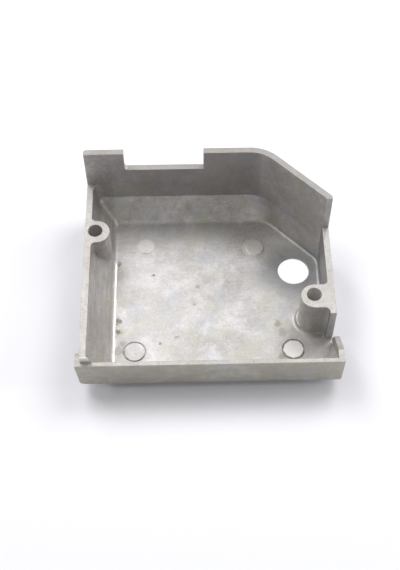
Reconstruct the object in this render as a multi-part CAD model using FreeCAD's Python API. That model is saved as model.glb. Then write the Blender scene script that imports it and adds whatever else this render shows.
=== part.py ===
"""Die-cast housing: a shallow tray with walls of three heights, cast in one piece.

Frame: +Z is up, away from the tray's flat base. The origin is at the base's level, in the middle of the
part's outer box. +Y points to the tall back wall and +X to the side wall with the cut-out at its front.
All sizes are in millimetres.
"""
import FreeCAD, Part
import math
import os

Vector = FreeCAD.Vector

# --- Driving dimensions -------------------------------------------------------------------------------

# Outer form of the tray
BODY_WIDTH = 55.0            # across the outer faces of the two side walls
OVERALL_DEPTH = 48.3         # from the lip's front face to the back wall's outer face
WALL = 1.4                   # wall thickness at the rims
FLOOR = 1.5                  # floor thickness

# Heights above the base
TALL_RIM = 22.9              # back wall, diagonal wall and corner tab
NOTCH_RIM = 17.3             # bottom of the notch in the back wall
LOW_RIM = 12.3               # side walls and boss tops
SLOPE_TOP = 7.25             # where the sloped skirt of the tray turns into upright wall

# Sloped skirt: run of the slope in plan, from the wall's inner face to the edge of the floor
LEFT_RUN = 4.2
BACK_RUN = 3.64
FRONT_RUN = 3.64
DIAGONAL_RUN = 1.5
LEFT_LEAN = 0.6              # how far the left wall's inner face leans in from rim to slope
RIGHT_LEAN = 0.12            # the same for the right wall, which has no slope, from rim to floor
SKIRT_THICKNESS = 1.75       # from the inner slope to the underside, measured level
LEFT_BLEND = 0.6             # softness of the bend between slope and wall; the other bends are sharp

# Diagonal corner
DIAGONAL_LEG = 14.0          # cut from each side of the square corner
DIAGONAL_RADIUS = 8.8        # outer radius between back wall and diagonal wall
TALL_RETURN = 0.8            # length of tall rim on the right wall past the diagonal

# Corner radii of the hollow: at the floor's edge and at the wall
LEFT_CORNER = (1.3, 1.8)
DIAGONAL_CORNER = (5.0, DIAGONAL_RADIUS - WALL)
RIGHT_CORNER = (3.4, 1.2)
FRONT_CORNER = (1.2, 0.8)
FOOT_RADIUS = 0.8            # fillet from the floor to the slopes
BASE_BEVEL = 0.5             # bevel round the flat base
OUTER_CORNER_RADIUS = 0.7    # upright outer edges of the tray
LIP_EDGE_RADIUS = 0.2        # the same where the lip and ears cover the edge
UNDERSIDE_EXTRA_RADIUS = 1.0 # growth of the corner radii from the floor's edge to the underside

# Notch in the back wall
NOTCH_LEFT = -18.5
NOTCH_RIGHT = -0.5
NOTCH_RADIUS = 0.8

# Front lip with its two ears; lengths run from the lip's front face
LIP_WIDTH = 57.2
LIP_THICKNESS = 1.0
LIP_BOTTOM = 2.5
LIP_TOP = 10.4
LEFT_END_DRAFT = 0.6         # how far the lip's left end leans in at the bottom
RIGHT_END_DRAFT = 0.2        # the same at its right end
LEFT_LIP_CORNER = 1.2        # radius of the lip's lower left corner
RIGHT_LIP_CORNER = 0.4       # and of its lower right corner
EAR_THICKNESS = 1.3
LEFT_EAR_LENGTH = 3.2
RIGHT_EAR_LENGTH = 10.1
RIGHT_EAR_LEVEL = 3.0        # level stretch of the right ear's top
RIGHT_EAR_SHOULDER = 8.5     # where its slanted top ends
SHOULDER_HEIGHT = 6.4
SHOULDER_RADIUS = 1.2
GUSSET_LENGTH = 9.4          # slanted web inside the right ear, along the ear
GUSSET_WIDTH = 3.2           # and across the floor behind the lip

# Cut-out in the right wall, between its end and the lip
CUT_OUT_LENGTH = 9.85

# Bosses: blind cored holes for thread-forming screws
BOSS_RADIUS = 2.95
BOSS_DRAFT = 0.15            # growth of the boss's radius from rim to base
BOSS_FOOT_RADIUS = 0.9       # fillet round a boss's foot
WEB_FOOT_RADIUS = 0.6        # fillet along the foot of its web
BOSS_HOLE_RADIUS = 1.65
LEFT_HOLE_DEPTH = 5.0        # shallow, because the tray's underside slopes up beneath it
RIGHT_HOLE_DEPTH = 8.5
LEFT_BOSS = (-25.2, 9.45)    # centre of each hole
RIGHT_BOSS = (22.95, -8.45)
LEFT_BOSS_OFFSET = (0.3, -0.25)  # from the hole's centre to the centre of the boss round it
RIGHT_BOSS_OFFSET = (0.1, -0.4)
RIGHT_FLARE_OFFSET = (-0.3, 0.25)  # shift of the right boss's foot fillet, which is wider on the left
WEB_RADIUS = 1.0             # inside corners between a boss's web and the wall

# Hole through the floor
FLOOR_HOLE = (19.95, 4.75)
FLOOR_HOLE_RADIUS = 3.6
FLOOR_HOLE_LAND = 0.5        # straight wall at its top; below, it flares at 45 degrees to the underside

# Ejector-pin marks: faint raised discs, the front pair ringed by a groove
FRONT_PIN_MARKS = ((-16.5, -15.9), (18.7, -15.95))
FRONT_PIN_RADIUS = 2.3
BACK_PIN_MARKS = ((-14.3, 12.3), (11.4, 11.4))
BACK_PIN_RADIUS = 2.1
PIN_STEP = 0.08
PIN_GROOVE_WIDTH = 0.2
PIN_GROOVE_DEPTH = 0.12

# --- Derived positions --------------------------------------------------------------------------------

SIDE = BODY_WIDTH / 2
BACK = OVERALL_DEPTH / 2
FRONT = -OVERALL_DEPTH / 2
LIP_BACK = FRONT + LIP_THICKNESS
LIP_SIDE = LIP_WIDTH / 2
WALL_END = LIP_BACK + CUT_OUT_LENGTH
DIAGONAL_SUM = SIDE + BACK - DIAGONAL_LEG    # x + y along the diagonal wall's outer face
CLEAR = 5.0                                  # how far cutting tools reach past the part
ABOVE = TALL_RIM + CLEAR
EPSILON = 1e-4


def vertical(length):
    return Vector(0, 0, length)


def box(low, high):
    """A box between two opposite corners."""
    low, high = Vector(*low), Vector(*high)
    size = high - low
    return Part.makeBox(size.x, size.y, size.z, low)


def rounded_corners(corners, z):
    """Start, middle and end of the arc that rounds each (x, y, radius) corner of an outline at height z."""
    arcs = []
    for i, (x, y, radius) in enumerate(corners):
        corner = Vector(x, y, z)
        before = Vector(*corners[i - 1][:2], z) - corner
        after = Vector(*corners[(i + 1) % len(corners)][:2], z) - corner
        before.normalize()
        after.normalize()
        half_angle = before.getAngle(after) / 2
        bisector = before + after
        bisector.normalize()
        reach = radius / math.tan(half_angle)
        middle = corner + bisector * (radius / math.sin(half_angle) - radius)
        arcs.append((corner + before * reach, middle, corner + after * reach))
    return arcs


def outline_face(arcs):
    """The flat face inside an outline of rounded corners."""
    edges = []
    for i, arc in enumerate(arcs):
        edges.append(Part.Arc(*arc).toShape())
        edges.append(Part.LineSegment(arc[2], arcs[(i + 1) % len(arcs)][0]).toShape())
    return Part.Face(Part.Wire(edges))


def stacked_solid(levels):
    """A solid through outlines at rising heights: flat sides, with ruled surfaces at the corners."""
    faces = [outline_face(levels[0]), outline_face(levels[-1])]
    for low, high in zip(levels, levels[1:]):
        for i in range(len(low)):
            following = (i + 1) % len(low)
            faces.append(Part.makeRuledSurface(Part.Arc(*low[i]).toShape(), Part.Arc(*high[i]).toShape()))
            quad = [low[i][2], low[following][0], high[following][0], high[i][2]]
            faces.append(Part.Face(Part.makePolygon(quad + quad[:1])))
    shell = Part.makeShell(faces)
    shell.sewShape()
    solid = Part.makeSolid(shell)
    if solid.Volume < 0:
        solid.reverse()
    return solid


def slope_reach(z, run, lean=0.0, blend=0.0):
    """How far the inner face stands in from the rim's inner face, at height z on a sloped side."""
    if z >= LOW_RIM:
        return 0.0
    slope = lean + run * (SLOPE_TOP - z) / (SLOPE_TOP - FLOOR)
    wall = lean * (LOW_RIM - z) / (LOW_RIM - SLOPE_TOP)
    return (slope + wall + math.hypot(slope - wall, blend)) / 2


def corner_radius(radii, z):
    """A corner's radius at height z, from its value at the floor to its value at the wall."""
    share = min(1.0, max(0.0, (z - FLOOR) / (SLOPE_TOP - FLOOR)))
    return radii[0] + (radii[1] - radii[0]) * share


def hollow_outline(z):
    """The inside of the tray in plan, at height z."""
    left = -SIDE + WALL + slope_reach(z, LEFT_RUN, LEFT_LEAN, LEFT_BLEND)
    right = SIDE - WALL - RIGHT_LEAN * max(0.0, LOW_RIM - z) / (LOW_RIM - FLOOR)
    back = BACK - WALL - slope_reach(z, BACK_RUN)
    front = LIP_BACK + slope_reach(z, FRONT_RUN)
    diagonal = DIAGONAL_SUM - (WALL + slope_reach(z, DIAGONAL_RUN)) * math.sqrt(2)
    return rounded_corners([
        (left, front, corner_radius(FRONT_CORNER, z)),
        (left, back, corner_radius(LEFT_CORNER, z)),
        (diagonal - back, back, corner_radius(DIAGONAL_CORNER, z)),
        (right, diagonal - right, corner_radius(RIGHT_CORNER, z)),
        (right, front, corner_radius(FRONT_CORNER, z)),
    ], z)


def hollow():
    """The inside of the tray: floor, slopes that bend into the walls, and the space above."""
    bend = [SLOPE_TOP + step * LEFT_BLEND for step in (-2.0, -1.0, -0.4, 0.0, 0.4, 1.0, 2.0)]
    levels = [hollow_outline(z) for z in [FLOOR, *bend, LOW_RIM, ABOVE]]
    solid = stacked_solid(levels).removeSplitter()
    foot = [edge for edge in solid.Edges if edge.BoundBox.ZMax < FLOOR + EPSILON]
    return solid.makeFillet(FOOT_RADIUS, foot)


def outer_outline(z):
    """The tray's outer faces in plan, above its sloped underside."""
    return rounded_corners([
        (-SIDE, FRONT, LIP_EDGE_RADIUS),
        (-SIDE, BACK, OUTER_CORNER_RADIUS),
        (DIAGONAL_SUM - BACK, BACK, DIAGONAL_RADIUS),
        (SIDE, DIAGONAL_SUM - SIDE, OUTER_CORNER_RADIUS),
        (SIDE, FRONT, LIP_EDGE_RADIUS),
    ], z)


def skirt_outline(z, inset=0.0):
    """The sloped skirt's outer face in plan, from the flat base (z = 0) up to the upright walls."""
    rise = z / SLOPE_TOP
    fall = SLOPE_TOP / (SLOPE_TOP - FLOOR) * (1 - rise)
    left = -SIDE + (WALL + LEFT_LEAN - SKIRT_THICKNESS) * (1 - rise) + LEFT_RUN * fall + inset
    right = SIDE - inset
    back = BACK - (WALL - SKIRT_THICKNESS) * (1 - rise) - BACK_RUN * fall - inset
    front = FRONT + (LIP_THICKNESS - SKIRT_THICKNESS) * (1 - rise) + FRONT_RUN * fall + inset
    diagonal = DIAGONAL_SUM - (DIAGONAL_RUN * fall + inset) * math.sqrt(2)

    def growing(radii, top):
        return top + (radii[0] + UNDERSIDE_EXTRA_RADIUS - top) * (1 - rise)

    return rounded_corners([
        (left, front, growing(FRONT_CORNER, LIP_EDGE_RADIUS)),
        (left, back, growing(LEFT_CORNER, OUTER_CORNER_RADIUS)),
        (diagonal - back, back, growing(DIAGONAL_CORNER, DIAGONAL_RADIUS)),
        (right, diagonal - right, growing(RIGHT_CORNER, OUTER_CORNER_RADIUS)),
        (right, front, LIP_EDGE_RADIUS),
    ], z)


def tray_block():
    """The tray without its hollow: a flat base with a bevelled edge, sloped skirt and upright walls."""
    return stacked_solid([
        skirt_outline(0.0, BASE_BEVEL),
        skirt_outline(BASE_BEVEL),
        outer_outline(SLOPE_TOP),
        outer_outline(TALL_RIM),
    ]).removeSplitter()


def notch():
    """The notch in the back wall, rounded at its lower left corner."""
    tool = box((NOTCH_LEFT, BACK - CLEAR, NOTCH_RIM), (NOTCH_RIGHT, BACK + CLEAR, ABOVE))
    corner = [
        edge for edge in tool.Edges
        if edge.BoundBox.XMax < NOTCH_LEFT + EPSILON and edge.BoundBox.ZMax < NOTCH_RIM + EPSILON
    ]
    return tool.makeFillet(NOTCH_RADIUS, corner)


def cut_out():
    """The gap in the right wall: open above the floor and above the front slope."""
    section = [
        Vector(SIDE - 2 * WALL, WALL_END, FLOOR),
        Vector(SIDE - 2 * WALL, LIP_BACK + FRONT_RUN, FLOOR),
        Vector(SIDE - 2 * WALL, LIP_BACK, SLOPE_TOP),
        Vector(SIDE - 2 * WALL, LIP_BACK, ABOVE),
        Vector(SIDE - 2 * WALL, WALL_END, ABOVE),
    ]
    return Part.Face(Part.makePolygon(section + section[:1])).extrude(Vector(2 * WALL + CLEAR, 0, 0))


def rim_tools():
    """What is cut from the full-height walls to leave the lower rims."""
    tall_end = DIAGONAL_SUM - SIDE - TALL_RETURN
    return [
        box((-SIDE - CLEAR, FRONT - CLEAR, LOW_RIM), (SIDE + CLEAR, tall_end, ABOVE)),
        box((-SIDE - CLEAR, FRONT - CLEAR, LOW_RIM), (0.0, BACK - WALL, ABOVE)),
        box((-SIDE - CLEAR, FRONT - CLEAR, LIP_TOP), (SIDE + CLEAR, LIP_BACK, ABOVE)),
        notch(),
        cut_out(),
    ]


def lip_section():
    """The lip as seen from the front, with leaning ends and rounded lower corners."""
    outline = [
        Vector(-LIP_SIDE, FRONT, LIP_TOP),
        Vector(-LIP_SIDE + LEFT_END_DRAFT, FRONT, LIP_BOTTOM),
        Vector(LIP_SIDE - RIGHT_END_DRAFT, FRONT, LIP_BOTTOM),
        Vector(LIP_SIDE, FRONT, LIP_TOP),
    ]
    plate = Part.Face(Part.makePolygon(outline + outline[:1])).extrude(Vector(0, RIGHT_EAR_LENGTH, 0))
    lower = [
        edge for edge in plate.Edges
        if edge.BoundBox.ZMax < LIP_BOTTOM + EPSILON and edge.BoundBox.YLength > LIP_THICKNESS
    ]
    lower.sort(key=lambda edge: edge.CenterOfMass.x)
    plate = plate.makeFillet(LEFT_LIP_CORNER, lower[:1])
    lower = [
        edge for edge in plate.Edges
        if edge.BoundBox.ZMax < LIP_BOTTOM + EPSILON and edge.CenterOfMass.x > LIP_SIDE - 1.0
    ]
    return plate.makeFillet(RIGHT_LIP_CORNER, lower)


def right_ear_profile():
    """The right ear from the side: level, then slanted down to a rounded shoulder and its back end."""
    inner = LIP_SIDE - EAR_THICKNESS
    outline = [
        Vector(inner, FRONT, LIP_BOTTOM),
        Vector(inner, FRONT + RIGHT_EAR_LENGTH, LIP_BOTTOM),
        Vector(inner, FRONT + RIGHT_EAR_SHOULDER, SHOULDER_HEIGHT),
        Vector(inner, FRONT + RIGHT_EAR_LEVEL, LIP_TOP),
        Vector(inner, FRONT, LIP_TOP),
    ]
    plate = Part.Face(Part.makePolygon(outline + outline[:1])).extrude(Vector(2 * EAR_THICKNESS, 0, 0))
    shoulder = [
        edge for edge in plate.Edges
        if abs(edge.CenterOfMass.y - FRONT - RIGHT_EAR_SHOULDER) < EPSILON
        and abs(edge.CenterOfMass.z - SHOULDER_HEIGHT) < EPSILON
    ]
    return plate.makeFillet(SHOULDER_RADIUS, shoulder)


def lip():
    """The thin upright skirt across the front, wider than the tray, with an ear at each end."""
    section = lip_section()
    low = Vector(-LIP_SIDE - CLEAR, FRONT - CLEAR, 0)
    front_strip = box(low, (LIP_SIDE + CLEAR, LIP_BACK, ABOVE))
    left_strip = box(low, (-LIP_SIDE + EAR_THICKNESS, FRONT + LEFT_EAR_LENGTH, ABOVE))
    return section.common(front_strip.fuse([left_strip, right_ear_profile()])).removeSplitter()


def corner_gusset():
    """The slanted web inside the right ear, from the floor's edge up to the lip's corner."""
    inner = LIP_SIDE - EAR_THICKNESS
    tail = Vector(inner, FRONT + GUSSET_LENGTH, FLOOR)
    toe = Vector(inner - GUSSET_WIDTH, LIP_BACK, FLOOR)
    heel = Vector(inner, LIP_BACK, FLOOR)
    peak = Vector(inner, LIP_BACK, LIP_TOP - 0.2)
    corners = ((tail, toe, heel), (tail, toe, peak), (toe, heel, peak), (tail, heel, peak))
    faces = [Part.Face(Part.makePolygon([a, b, c, a])) for a, b, c in corners]
    solid = Part.makeSolid(Part.makeShell(faces))
    if solid.Volume < 0:
        solid.reverse()
    return solid.common(cut_out())


def boss(hole_centre, offset, side, flare_offset=(0.0, 0.0)):
    """A drafted boss webbed to the wall beside it; side is -1 for the left wall and 1 for the right."""
    x, y = hole_centre[0] + offset[0], hole_centre[1] + offset[1]
    foot = BOSS_RADIUS + BOSS_DRAFT
    wall = side * (SIDE - WALL / 2)
    post = Part.makeCone(foot, BOSS_RADIUS, LOW_RIM - FLOOR, Vector(x, y, FLOOR))
    web = box((min(x, wall), y - BOSS_RADIUS, FLOOR), (max(x, wall), y + BOSS_RADIUS, LOW_RIM))
    solid = post.fuse([web, foot_flare(x + flare_offset[0], y + flare_offset[1], foot)])
    for direction in (-1, 1):
        edge = y + direction * BOSS_RADIUS
        solid = solid.fuse([web_fillet(side, edge, direction), web_foot_fillet(x, wall, edge, direction)])
    return solid


def foot_flare(x, y, foot):
    """The fillet ring round the foot of a boss."""
    inner = foot - WALL
    outer = foot + BOSS_FOOT_RADIUS
    top = FLOOR + BOSS_FOOT_RADIUS
    sag = BOSS_FOOT_RADIUS * (1 - math.sqrt(0.5))
    low = FLOOR / 2
    section = [
        Part.Arc(Vector(foot, 0, top), Vector(foot + sag, 0, FLOOR + sag), Vector(outer, 0, FLOOR)).toShape(),
        Part.makePolygon([Vector(outer, 0, FLOOR), Vector(outer, 0, low), Vector(inner, 0, low),
                          Vector(inner, 0, top), Vector(foot, 0, top)]),
    ]
    ring = Part.Face(Part.Wire(section)).revolve(Vector(), vertical(1), 360)
    ring.translate(Vector(x, y, 0))
    return ring


def web_fillet(side, y, direction):
    """The upright fillet between the web of a boss, at y, and the inner face of the wall."""
    wall = side * (SIDE - WALL)
    block = box(
        (min(wall - side * WEB_RADIUS, wall + side * WALL / 2), min(y, y + direction * WEB_RADIUS), FLOOR),
        (max(wall - side * WEB_RADIUS, wall + side * WALL / 2), max(y, y + direction * WEB_RADIUS), LOW_RIM),
    )
    centre = Vector(wall - side * WEB_RADIUS, y + direction * WEB_RADIUS, FLOOR - CLEAR)
    return block.cut(Part.makeCylinder(WEB_RADIUS, LOW_RIM + 2 * CLEAR, centre))


def boss_hole(centre, depth):
    """The blind cored hole of a boss, with a tapered bottom."""
    bottom = LOW_RIM - depth
    hole = Part.makeCylinder(BOSS_HOLE_RADIUS, depth + CLEAR, Vector(*centre, bottom))
    tip = Part.makeCone(BOSS_HOLE_RADIUS / 3, BOSS_HOLE_RADIUS, BOSS_HOLE_RADIUS / 2,
                        Vector(*centre, bottom - BOSS_HOLE_RADIUS / 2))
    return hole.fuse(tip)


def web_foot_fillet(x, wall, y, direction):
    """The level fillet between the floor and the web of a boss, from the boss's centre to the wall."""
    radius = WEB_FOOT_RADIUS
    low_y, high_y = sorted((y - direction * radius, y + direction * radius))
    block = box((min(x, wall), low_y, FLOOR / 2), (max(x, wall), high_y, FLOOR + radius))
    centre = Vector(min(x, wall) - CLEAR, y + direction * radius, FLOOR + radius)
    return block.cut(Part.makeCylinder(radius, abs(wall - x) + 2 * CLEAR, centre, Vector(1, 0, 0)))


def pin_marks():
    """The raised discs left by the ejector pins, and the grooves round the front pair."""
    discs = []
    grooves = []
    for x, y in FRONT_PIN_MARKS:
        discs.append(pin_disc(x, y, FRONT_PIN_RADIUS))
        outer = Part.makeCylinder(FRONT_PIN_RADIUS + PIN_GROOVE_WIDTH, FLOOR, Vector(x, y, FLOOR - PIN_GROOVE_DEPTH))
        grooves.append(outer.cut(Part.makeCylinder(FRONT_PIN_RADIUS, FLOOR, Vector(x, y, FLOOR - PIN_GROOVE_DEPTH))))
    for x, y in BACK_PIN_MARKS:
        discs.append(pin_disc(x, y, BACK_PIN_RADIUS))
    return discs, grooves


def pin_disc(x, y, radius):
    """One raised disc on the floor."""
    return Part.makeCylinder(radius, PIN_STEP + FLOOR / 2, Vector(x, y, FLOOR / 2))


def floor_hole():
    """The hole through the floor: a short straight wall, then a flare to the underside."""
    drop = FLOOR - FLOOR_HOLE_LAND + CLEAR
    straight = Part.makeCylinder(FLOOR_HOLE_RADIUS, FLOOR_HOLE_LAND + CLEAR,
                                 Vector(*FLOOR_HOLE, FLOOR - FLOOR_HOLE_LAND))
    flare = Part.makeCone(FLOOR_HOLE_RADIUS + drop, FLOOR_HOLE_RADIUS, drop, Vector(*FLOOR_HOLE, -CLEAR))
    return straight.fuse(flare)


def main():
    os.makedirs("parts", exist_ok=True)
    block = tray_block()
    left_boss = boss(LEFT_BOSS, LEFT_BOSS_OFFSET, -1).common(block)
    right_boss = boss(RIGHT_BOSS, RIGHT_BOSS_OFFSET, 1, RIGHT_FLARE_OFFSET)
    discs, grooves = pin_marks()
    housing = block.cut([hollow()] + rim_tools())
    housing = housing.fuse([left_boss, right_boss, lip(), corner_gusset()] + discs)
    holes = [boss_hole(LEFT_BOSS, LEFT_HOLE_DEPTH), boss_hole(RIGHT_BOSS, RIGHT_HOLE_DEPTH), floor_hole()]
    housing = housing.cut(holes + grooves).removeSplitter().Solids[0]
    housing.exportStep("parts/housing.step")


main()
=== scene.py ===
"""Scene for the die-cast housing.

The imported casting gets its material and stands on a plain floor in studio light. The camera has the
photograph's viewing angle.
"""
import math

import bpy
from mathutils import Matrix, Vector

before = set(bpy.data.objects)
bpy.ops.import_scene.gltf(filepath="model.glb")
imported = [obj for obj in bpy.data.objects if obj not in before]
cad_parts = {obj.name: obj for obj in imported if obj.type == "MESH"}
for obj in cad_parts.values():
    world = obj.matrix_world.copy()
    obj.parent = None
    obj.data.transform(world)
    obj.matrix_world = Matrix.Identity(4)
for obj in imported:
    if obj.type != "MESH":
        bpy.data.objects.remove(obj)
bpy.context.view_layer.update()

MM = 0.001

# Stage: sizes in metres
FLOOR_SIZE = 3.0
LAMP_SIZE = 0.25
LAMP_DISTANCE = 0.45
LAMP_TARGET = Vector((0, 0, 0.005))
# Lamps: name, azimuth and elevation in degrees, and power in watts
LAMPS = (
    ("back_right", 45, 50, 1.05),
    ("back_left", 135, 50, 1.2),
    ("right", 0, 22, 0.85),
    ("left", 180, 55, 0.45),
    ("front", 270, 30, 0.25),
)
WORLD_LIGHT = 0.12

# Camera: angles in degrees, place, focal length and sensor in millimetres
CAMERA_PITCH, CAMERA_YAW, CAMERA_ROLL = 57.156, 1.584, 0.324
CAMERA_PLACE = (-2.730, -128.828, 206.844)
CAMERA_SHIFT = (-0.0201, -0.0156)
FOCAL_LENGTH = 66.67
SENSOR_WIDTH = 36.0
CLIP_START = 0.01        # metres


def srgb(r, g, b):
    """An sRGB colour, 0 to 255, as the linear RGBA that shaders take."""
    def linear(value):
        value /= 255
        return value / 12.92 if value <= 0.04045 else ((value + 0.055) / 1.055) ** 2.4
    return (linear(r), linear(g), linear(b), 1.0)


class Graph:
    """Builds a material's node graph; each method adds one node and returns its output."""

    def __init__(self, name):
        self.material = bpy.data.materials.new(name)
        self.material.use_nodes = True
        self.tree = self.material.node_tree
        self.tree.nodes.clear()

    def node(self, kind, **settings):
        new = self.tree.nodes.new(kind)
        for key, value in settings.items():
            setattr(new, key, value)
        return new

    def feed(self, socket, value):
        """Links an output to a socket, or sets the socket to a constant."""
        if isinstance(value, bpy.types.NodeSocket):
            self.tree.links.new(value, socket)
        elif value is not None:
            socket.default_value = value

    def math(self, operation, a, b=None, clamp=False):
        new = self.node("ShaderNodeMath", operation=operation, use_clamp=clamp)
        for socket, value in zip(new.inputs, (a, b)):
            self.feed(socket, value)
        return new.outputs[0]

    def product(self, *factors):
        """The product of two or more values."""
        result = factors[0]
        for factor in factors[1:]:
            result = self.math("MULTIPLY", result, factor)
        return result

    def vector_math(self, operation, a, b=None):
        new = self.node("ShaderNodeVectorMath", operation=operation)
        self.feed(new.inputs[0], a)
        self.feed(new.inputs[1], b)
        return new.outputs["Value"] if operation in ("LENGTH", "DOT_PRODUCT") else new.outputs[0]

    def stretch(self, vector, factors):
        return self.vector_math("MULTIPLY", vector, factors)

    def split(self, vector):
        """The x, y and z outputs of a vector."""
        new = self.node("ShaderNodeSeparateXYZ")
        self.feed(new.inputs[0], vector)
        return new.outputs

    def output(self, shader):
        self.feed(self.node("ShaderNodeOutputMaterial").inputs["Surface"], shader)

    def noise(self, vector, scale, detail=2.0, roughness=0.5, distortion=0.0):
        new = self.node("ShaderNodeTexNoise")
        self.feed(new.inputs["Vector"], vector)
        new.inputs["Scale"].default_value = scale
        new.inputs["Detail"].default_value = detail
        new.inputs["Roughness"].default_value = roughness
        new.inputs["Distortion"].default_value = distortion
        return new.outputs[0]

    def ramp(self, value, low, high, first=0.0, last=1.0):
        """Smooth step of value from low to high, mapped to first..last."""
        new = self.node("ShaderNodeMapRange", interpolation_type="SMOOTHSTEP")
        self.feed(new.inputs["Value"], value)
        for socket, number in zip(("From Min", "From Max", "To Min", "To Max"), (low, high, first, last)):
            new.inputs[socket].default_value = number
        return new.outputs[0]

    def fall(self, value, low, high):
        """Smooth step of value from 1 at low to 0 at high."""
        return self.ramp(value, low, high, 1.0, 0.0)

    def mix(self, factor, a, b):
        """Colour a turning into colour b as the factor goes from 0 to 1."""
        new = self.node("ShaderNodeMix", data_type="RGBA")
        self.feed(new.inputs[0], factor)
        self.feed(new.inputs[6], a)
        self.feed(new.inputs[7], b)
        return new.outputs[2]


# Marks on the tray's floor, in millimetres: x, y, radius and strength
STAINS = (
    (-20.3, -8.1, 0.75, 0.8), (-20.2, -10.7, 0.65, 0.8), (-20.5, 7.3, 0.6, 0.6), (-20.1, -15.8, 1.3, 0.4),
    (-19.2, -13.9, 1.0, 0.35), (-12.5, 4.2, 0.4, 0.75), (-2.4, 0.9, 0.45, 0.5), (-11.0, -14.0, 0.4, 0.6),
    (-14.8, -17.6, 0.35, 1.0), (-7.3, -12.2, 0.35, 0.45), (15.6, -9.4, 0.9, 0.45), (16.5, -11.6, 1.1, 0.35),
    (16.2, -17.6, 0.8, 0.45), (-3.0, -3.9, 0.3, 0.4), (4.5, 2.0, 0.5, 0.3), (17.4, 8.6, 0.8, 0.35),
)
PIN_RINGS = ((-16.5, -15.9, 2.4, 0.55), (18.7, -15.95, 2.4, 0.8))
PIN_DISCS = ((18.7, -15.95, 2.2, 0.75), (-14.3, 12.3, 2.0, 0.35), (10.6, 11.4, 2.4, 0.3))
# The grey of each bore's wall is painted light, brighter than the shade inside it.
BOSS_HOLES = ((-25.2, 9.45, 204), (22.95, -8.45, 236))   # centre, and grey of the bore's wall
BOSS_HOLE_RADIUS = 1.7
FLOOR_HOLE = (19.95, 4.75)

# Places on the casting, in millimetres
FLOOR_TOP = 1.9          # z, just above the tray's floor
LIP_TOP = 10.4           # z
LOW_RIM = 12.3           # z
LEFT_FOOT = -21.25       # x, foot of the left slope
RIGHT_WALL = 24          # x, short of the right wall's inner face
BACK_WALL = 21           # y, short of the back wall's inner face
WALL_END = -23.3         # y, front end of the left wall
LIP_FRONT = -24.0        # y, just behind the lip's front face

# The metal's surface; radius and depth in millimetres
METALLIC = 0.75
ROUGHNESS = (0.46, 0.62)
EDGE_RADIUS = 0.2
EDGE_SAMPLES = 6
BUMP_STRENGTH = 0.45
BUMP_DEPTH = 0.08

# The floor; both ranges are level distances in millimetres
FLOOR_COLOUR = (0.86, 0.86, 0.9, 1)
FLOOR_ROUGHNESS = 0.9
FLOOR_SPECULAR = 0.1
# Painted light: the floor glows white within this distance of the part's hole
PAINTED_LIGHT_UNDER_HOLE = (7.0, 8.0)
WHITE_FAR_OFF = (90, 260)

DARK, BROWN = srgb(104, 101, 97), srgb(122, 110, 98)


def millimetres(g, vector):
    return g.stretch(vector, (1000, 1000, 1000))


def faces_against(g, component):
    """Mask of faces that look against the axis whose part of the normal is given."""
    return g.fall(component, -0.97, -0.9)


def around(g, place, x, y):
    """Level distance in millimetres from the upright axis through (x, y)."""
    offset = g.vector_math("SUBTRACT", place, (x, y, 0))
    return g.vector_math("LENGTH", g.stretch(offset, (1, 1, 0)))


def mottling(g, place, blotches, grain):
    """The metal's own colour, from broad clouds to fine grain, with olive and bluish tints."""
    clouds = g.noise(place, 0.11, 3, 0.6, 0.6)
    streaks = g.noise(g.stretch(place, (0.22, 1.9, 0.8)), 1.0, 3, 0.6, 0.3)
    colour = g.mix(g.ramp(clouds, 0.35, 0.65), srgb(181, 177, 175), srgb(204, 201, 201))
    colour = g.mix(g.ramp(blotches, 0.42, 0.7, 0.0, 0.3), colour, srgb(160, 155, 151))
    colour = g.mix(g.ramp(streaks, 0.5, 0.72, 0.0, 0.28), colour, srgb(158, 153, 150))
    colour = g.mix(g.ramp(grain, 0.5, 0.72, 0.0, 0.35), colour, srgb(150, 146, 142))
    colour = g.mix(g.ramp(grain, 0.32, 0.48, 0.3, 0.0), colour, srgb(226, 224, 223))
    olive = g.noise(g.vector_math("ADD", place, (40, 0, 0)), 0.16, 3, 0.55)
    colour = g.mix(g.ramp(olive, 0.48, 0.64, 0.0, 0.36), colour, srgb(184, 183, 162))
    blue = g.noise(g.vector_math("ADD", place, (0, 70, 0)), 0.2, 3, 0.55)
    return g.mix(g.ramp(blue, 0.5, 0.66, 0.0, 0.34), colour, srgb(172, 177, 186))


def floor_painted_light_and_tones(g, colour, place, x, low):
    """The tray's floor: painted light a little brighter to the left, painted shade darker to the right, and
    darker round the hole.
    """
    # Painted light: the floor lighter towards the left.
    colour = g.mix(g.product(low, g.ramp(x, 4, -16, 0.0, 0.13)), colour, srgb(235, 233, 233))
    # Painted shade: the floor darker towards the right.
    colour = g.mix(g.product(low, g.ramp(x, 8, 22, 0.0, 0.4)), colour, srgb(150, 148, 142))
    by_hole = g.ramp(around(g, place, *FLOOR_HOLE), 4.0, 9.0, 0.55, 0.0)
    return g.mix(g.product(low, by_hole), colour, srgb(120, 124, 130))


def foot_highlight_and_gloss_line(g, place, x, y, z):
    """Mask of the line along the foot of the left slope: a painted highlight in the colour, and a little
    less roughness.
    """
    wavy = g.math("ADD", x, g.ramp(g.noise(place, 0.35, 2), 0.3, 0.7, -0.12, 0.12))
    across = g.product(g.ramp(wavy, LEFT_FOOT - 0.4, LEFT_FOOT - 0.15),
                       g.fall(wavy, LEFT_FOOT + 0.15, LEFT_FOOT + 0.45))
    return g.product(across, g.fall(y, 7.0, 8.5), g.fall(z, FLOOR_TOP + 0.3, FLOOR_TOP + 0.7))


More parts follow.
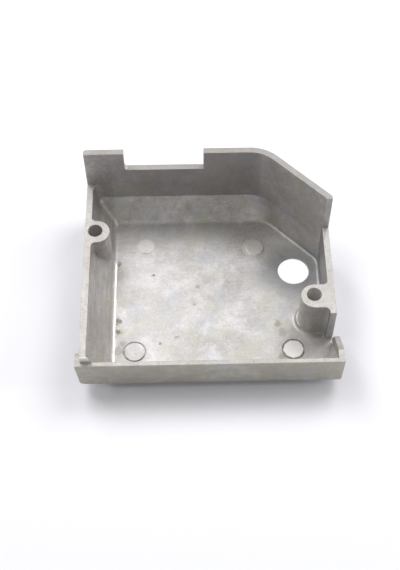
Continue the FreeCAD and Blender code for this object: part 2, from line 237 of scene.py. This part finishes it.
def left_slope(g, colour, place, x, z, line):
    """Lengthwise streaks on the left slope, and a painted highlight on the line along its foot."""
    slope = g.product(g.fall(x, LEFT_FOOT - 0.65, LEFT_FOOT - 0.35),
                      g.ramp(z, FLOOR_TOP - 0.3, FLOOR_TOP - 0.1))
    along = g.noise(g.stretch(place, (1.3, 0.1, 1.3)), 1.0, 3, 0.6)
    colour = g.mix(g.product(slope, g.ramp(along, 0.4, 0.62, 0.32, 0.0)), colour, srgb(150, 141, 132))
    # Painted highlight: pale colour along the foot of the left slope.
    return g.mix(g.product(line, 0.75), colour, srgb(246, 243, 239))


def rims(g, colour, place, z, upward, grain):
    """Pale pitted tops on the low walls and bosses, with painted shade darkening the tops on the tall back
    wall.
    """
    rim = g.product(upward, g.ramp(z, LIP_TOP - 0.9, LIP_TOP - 0.2))
    colour = g.mix(g.product(rim, g.ramp(grain, 0.35, 0.6, 0.6, 0.35)), colour, srgb(182, 177, 173))
    pits = g.ramp(g.noise(place, 1.6, 4, 0.7), 0.5, 0.68, 0.0, 0.5)
    colour = g.mix(g.product(rim, pits), colour, srgb(140, 137, 134))
    # Painted shade: up-facing tops from 13 to 16 mm high made darker.
    return g.mix(g.product(upward, g.ramp(z, 13, 16, 0.0, 0.5)), colour, srgb(138, 134, 130))


def walls(g, colour, x, y, z, facing, blotches):
    """Painted shade on the inner faces at the right and back, painted light on the end of the left wall,
    and the olive lip.
    """
    # Painted shade: the right wall's inner face made darker.
    inward = g.product(faces_against(g, facing[0]), g.ramp(x, RIGHT_WALL, RIGHT_WALL + 1))
    colour = g.mix(g.product(inward, 0.75), colour, srgb(146, 143, 142))
    # Painted shade: the back wall's inner face made darker, more towards the right.
    behind = g.product(faces_against(g, facing[1]), g.ramp(y, BACK_WALL, BACK_WALL + 1))
    colour = g.mix(g.product(behind, g.ramp(x, -24, -12, 0.0, 0.45)), colour, srgb(150, 147, 148))
    # Painted light: a pale strip on the front end of the left wall, in place of its shade.
    end = g.product(g.ramp(y, WALL_END, WALL_END + 0.1), g.fall(y, WALL_END + 0.25, WALL_END + 0.4))
    end_corner = g.product(g.ramp(z, LIP_TOP, LIP_TOP + 0.2), g.fall(x, -24.5, -24.0))
    colour = g.mix(g.product(end, end_corner), colour, srgb(236, 233, 229))
    front = g.product(g.fall(y, LIP_FRONT, LIP_FRONT + 0.1), g.ramp(blotches, 0.3, 0.7, 0.3, 0.7))
    return g.mix(front, colour, srgb(172, 168, 150))


def floor_marks(g, colour, place, low):
    """Stains, specks, and the discs and rings of the ejector-pin marks."""
    warp = g.ramp(g.noise(place, 1.4, 3, 0.6), 0.3, 0.7, -0.35, 0.35)
    for x, y, radius, strength in STAINS:
        distance = g.math("ADD", around(g, place, x, y), warp)
        spot = g.product(low, g.ramp(distance, radius * 0.5, radius * 1.3, strength, 0.0))
        colour = g.mix(spot, colour, BROWN)
    for x, y, radius, strength in PIN_DISCS:
        distance = g.math("ADD", around(g, place, x, y), g.product(warp, 0.5))
        disc = g.product(low, g.ramp(distance, radius - 0.2, radius + 0.1, strength, 0.0))
        colour = g.mix(disc, colour, srgb(236, 232, 229))
    for x, y, radius, strength in PIN_RINGS:
        off = g.math("ABSOLUTE", g.math("SUBTRACT", around(g, place, x, y), radius))
        ragged = g.ramp(g.noise(place, 0.9, 2), 0.35, 0.6, 0.3, 1.0)
        colour = g.mix(g.product(low, ragged, g.ramp(off, 0.1, 0.3, strength, 0.0)), colour, DARK)
    return colour


def bores(g, colour, place, z):
    """Painted light: bright walls inside the two boss holes, in place of the shade there."""
    for x, y, grey in BOSS_HOLES:
        inside = g.fall(around(g, place, x, y), BOSS_HOLE_RADIUS - 0.02, BOSS_HOLE_RADIUS + 0.02)
        below = g.fall(z, LOW_RIM - 0.2, LOW_RIM - 0.05)
        # Painted light on the bore's wall.
        colour = g.mix(g.product(inside, below), colour, srgb(grey, grey - 3, grey - 5))
    return colour


def cast_metal():
    """Bare as-cast light alloy: mottled, streaked and stained, with pale pitted rims and paler edges, and
    painted light and shade on parts of the floor, walls, rims and bores.
    """
    g = Graph("cast_metal")
    place = millimetres(g, g.node("ShaderNodeTexCoord").outputs["Object"])
    x, y, z = g.split(place)
    bevel = g.node("ShaderNodeBevel", samples=EDGE_SAMPLES)
    bevel.inputs["Radius"].default_value = EDGE_RADIUS * MM
    normal = g.node("ShaderNodeNewGeometry").outputs["Normal"]
    facing = g.split(normal)
    upward = g.ramp(facing[2], 0.9, 0.97)
    low = g.fall(z, FLOOR_TOP, FLOOR_TOP + 0.4)
    blotches = g.noise(place, 0.45, 4, 0.65, 0.4)
    grain = g.noise(place, 2.4, 3, 0.65)
    line = foot_highlight_and_gloss_line(g, place, x, y, z)

    colour = mottling(g, place, blotches, grain)
    colour = floor_painted_light_and_tones(g, colour, place, x, low)
    colour = left_slope(g, colour, place, x, z, line)
    colour = rims(g, colour, place, z, upward, grain)
    colour = walls(g, colour, x, y, z, facing, blotches)
    colour = floor_marks(g, colour, place, low)
    colour = bores(g, colour, place, z)
    bend = g.vector_math("DOT_PRODUCT", bevel.outputs[0], normal)
    # Paler colour on sharp edges found by the bevel, broken up by the grain.
    paler_edges = g.product(g.fall(bend, 0.9, 0.995), g.ramp(grain, 0.4, 0.6, 0.15, 0.6))
    colour = g.mix(paler_edges, colour, srgb(228, 226, 223))

    shader = g.node("ShaderNodeBsdfPrincipled")
    g.feed(shader.inputs["Base Color"], colour)
    shader.inputs["Metallic"].default_value = METALLIC
    rough = g.ramp(g.noise(place, 0.5, 4, 0.65), 0.3, 0.7, *ROUGHNESS)
    g.feed(shader.inputs["Roughness"], g.math("SUBTRACT", rough, g.product(line, 0.12)))
    fine = g.product(g.noise(place, 6.0, 2, 0.6), 0.4)
    height = g.math("ADD", g.product(grain, 0.6), fine)
    height = g.math("ADD", height, g.product(blotches, 0.8))
    bump = g.node("ShaderNodeBump")
    bump.inputs["Strength"].default_value = BUMP_STRENGTH
    bump.inputs["Distance"].default_value = BUMP_DEPTH * MM
    g.feed(bump.inputs["Height"], height)
    g.feed(bump.inputs["Normal"], bevel.outputs[0])
    g.feed(shader.inputs["Normal"], bump.outputs[0])
    g.output(shader.outputs[0])
    return g.material


def floor_material():
    """Matt white floor that keeps the part's shadow; plain white far off, and painted light under the
    part's hole, where the floor glows white in place of the part's shade.
    """
    g = Graph("floor")
    shader = g.node("ShaderNodeBsdfPrincipled")
    shader.inputs["Base Color"].default_value = FLOOR_COLOUR
    shader.inputs["Roughness"].default_value = FLOOR_ROUGHNESS
    shader.inputs["Specular IOR Level"].default_value = FLOOR_SPECULAR
    place = millimetres(g, g.node("ShaderNodeNewGeometry").outputs["Position"])
    ray = g.node("ShaderNodeLightPath")
    seen = g.math("ADD", ray.outputs["Is Camera Ray"], ray.outputs["Is Glossy Ray"])
    seen = g.math("ADD", seen, ray.outputs["Is Transmission Ray"], clamp=True)
    white = g.node("ShaderNodeEmission")
    white.inputs["Strength"].default_value = 1.0
    blend = g.node("ShaderNodeMixShader")
    # Painted light: the floor glows white under the part's hole, where it would lie in shade.
    hole = g.fall(around(g, place, *FLOOR_HOLE), *PAINTED_LIGHT_UNDER_HOLE)
    far = g.ramp(around(g, place, 0, 0), *WHITE_FAR_OFF)
    g.feed(blend.inputs[0], g.product(seen, g.math("ADD", hole, far, clamp=True)))
    g.feed(blend.inputs[1], shader.outputs[0])
    g.feed(blend.inputs[2], white.outputs[0])
    g.output(blend.outputs[0])
    return g.material


def add_floor():
    bpy.ops.mesh.primitive_plane_add(size=FLOOR_SIZE, location=(0, 0, 0))
    floor = bpy.context.object
    floor.name = "floor"
    floor.data.materials.append(floor_material())


def add_lamp(name, azimuth, elevation, power):
    """A square softbox aimed at the part; azimuth runs from +X towards +Y."""
    light = bpy.data.lights.new(name, "AREA")
    light.size = LAMP_SIZE
    light.energy = power
    azimuth, elevation = math.radians(azimuth), math.radians(elevation)
    level = math.cos(elevation)
    direction = Vector((math.cos(azimuth) * level, math.sin(azimuth) * level, math.sin(elevation)))
    lamp = bpy.data.objects.new(name, light)
    lamp.location = direction * LAMP_DISTANCE + LAMP_TARGET
    lamp.rotation_euler = direction.to_track_quat("Z", "Y").to_euler()
    bpy.context.collection.objects.link(lamp)


def add_world(strength):
    """White surroundings: plain white to the camera, and dimmer as light."""
    world = bpy.data.worlds.new("studio")
    world.use_nodes = True
    tree = world.node_tree
    background = tree.nodes["Background"]
    background.inputs["Color"].default_value = (1, 1, 1, 1)
    ray = tree.nodes.new("ShaderNodeLightPath")
    level = tree.nodes.new("ShaderNodeMapRange")
    level.inputs["To Min"].default_value = strength
    level.inputs["To Max"].default_value = 1.0
    tree.links.new(ray.outputs["Is Camera Ray"], level.inputs["Value"])
    tree.links.new(level.outputs[0], background.inputs["Strength"])
    bpy.context.scene.world = world


def add_camera():
    """Camera from in front and above, turned and rolled slightly."""
    pitch, yaw, roll = (math.radians(angle) for angle in (CAMERA_PITCH, CAMERA_YAW, CAMERA_ROLL))
    forward = Vector((math.sin(yaw) * math.cos(pitch), math.cos(yaw) * math.cos(pitch), -math.sin(pitch)))
    right = Vector((math.cos(yaw), -math.sin(yaw), 0))
    up = right.cross(forward)
    right_rolled = right * math.cos(roll) + up * math.sin(roll)
    up_rolled = up * math.cos(roll) - right * math.sin(roll)
    camera = bpy.data.cameras.new("camera")
    camera.lens = FOCAL_LENGTH
    camera.sensor_width = SENSOR_WIDTH
    camera.shift_x, camera.shift_y = CAMERA_SHIFT
    camera.clip_start = CLIP_START
    holder = bpy.data.objects.new("camera", camera)
    turn = Matrix((right_rolled, up_rolled, -forward)).transposed().to_4x4()
    holder.matrix_world = Matrix.Translation(Vector(CAMERA_PLACE) * MM) @ turn
    bpy.context.collection.objects.link(holder)
    bpy.context.scene.camera = holder


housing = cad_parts["housing"]
metal = cast_metal()
for slot in housing.material_slots:
    slot.material = metal

add_floor()
add_camera()
add_world(WORLD_LIGHT)
for lamp in LAMPS:
    add_lamp(*lamp)

bpy.context.scene.view_settings.view_transform = "Standard"
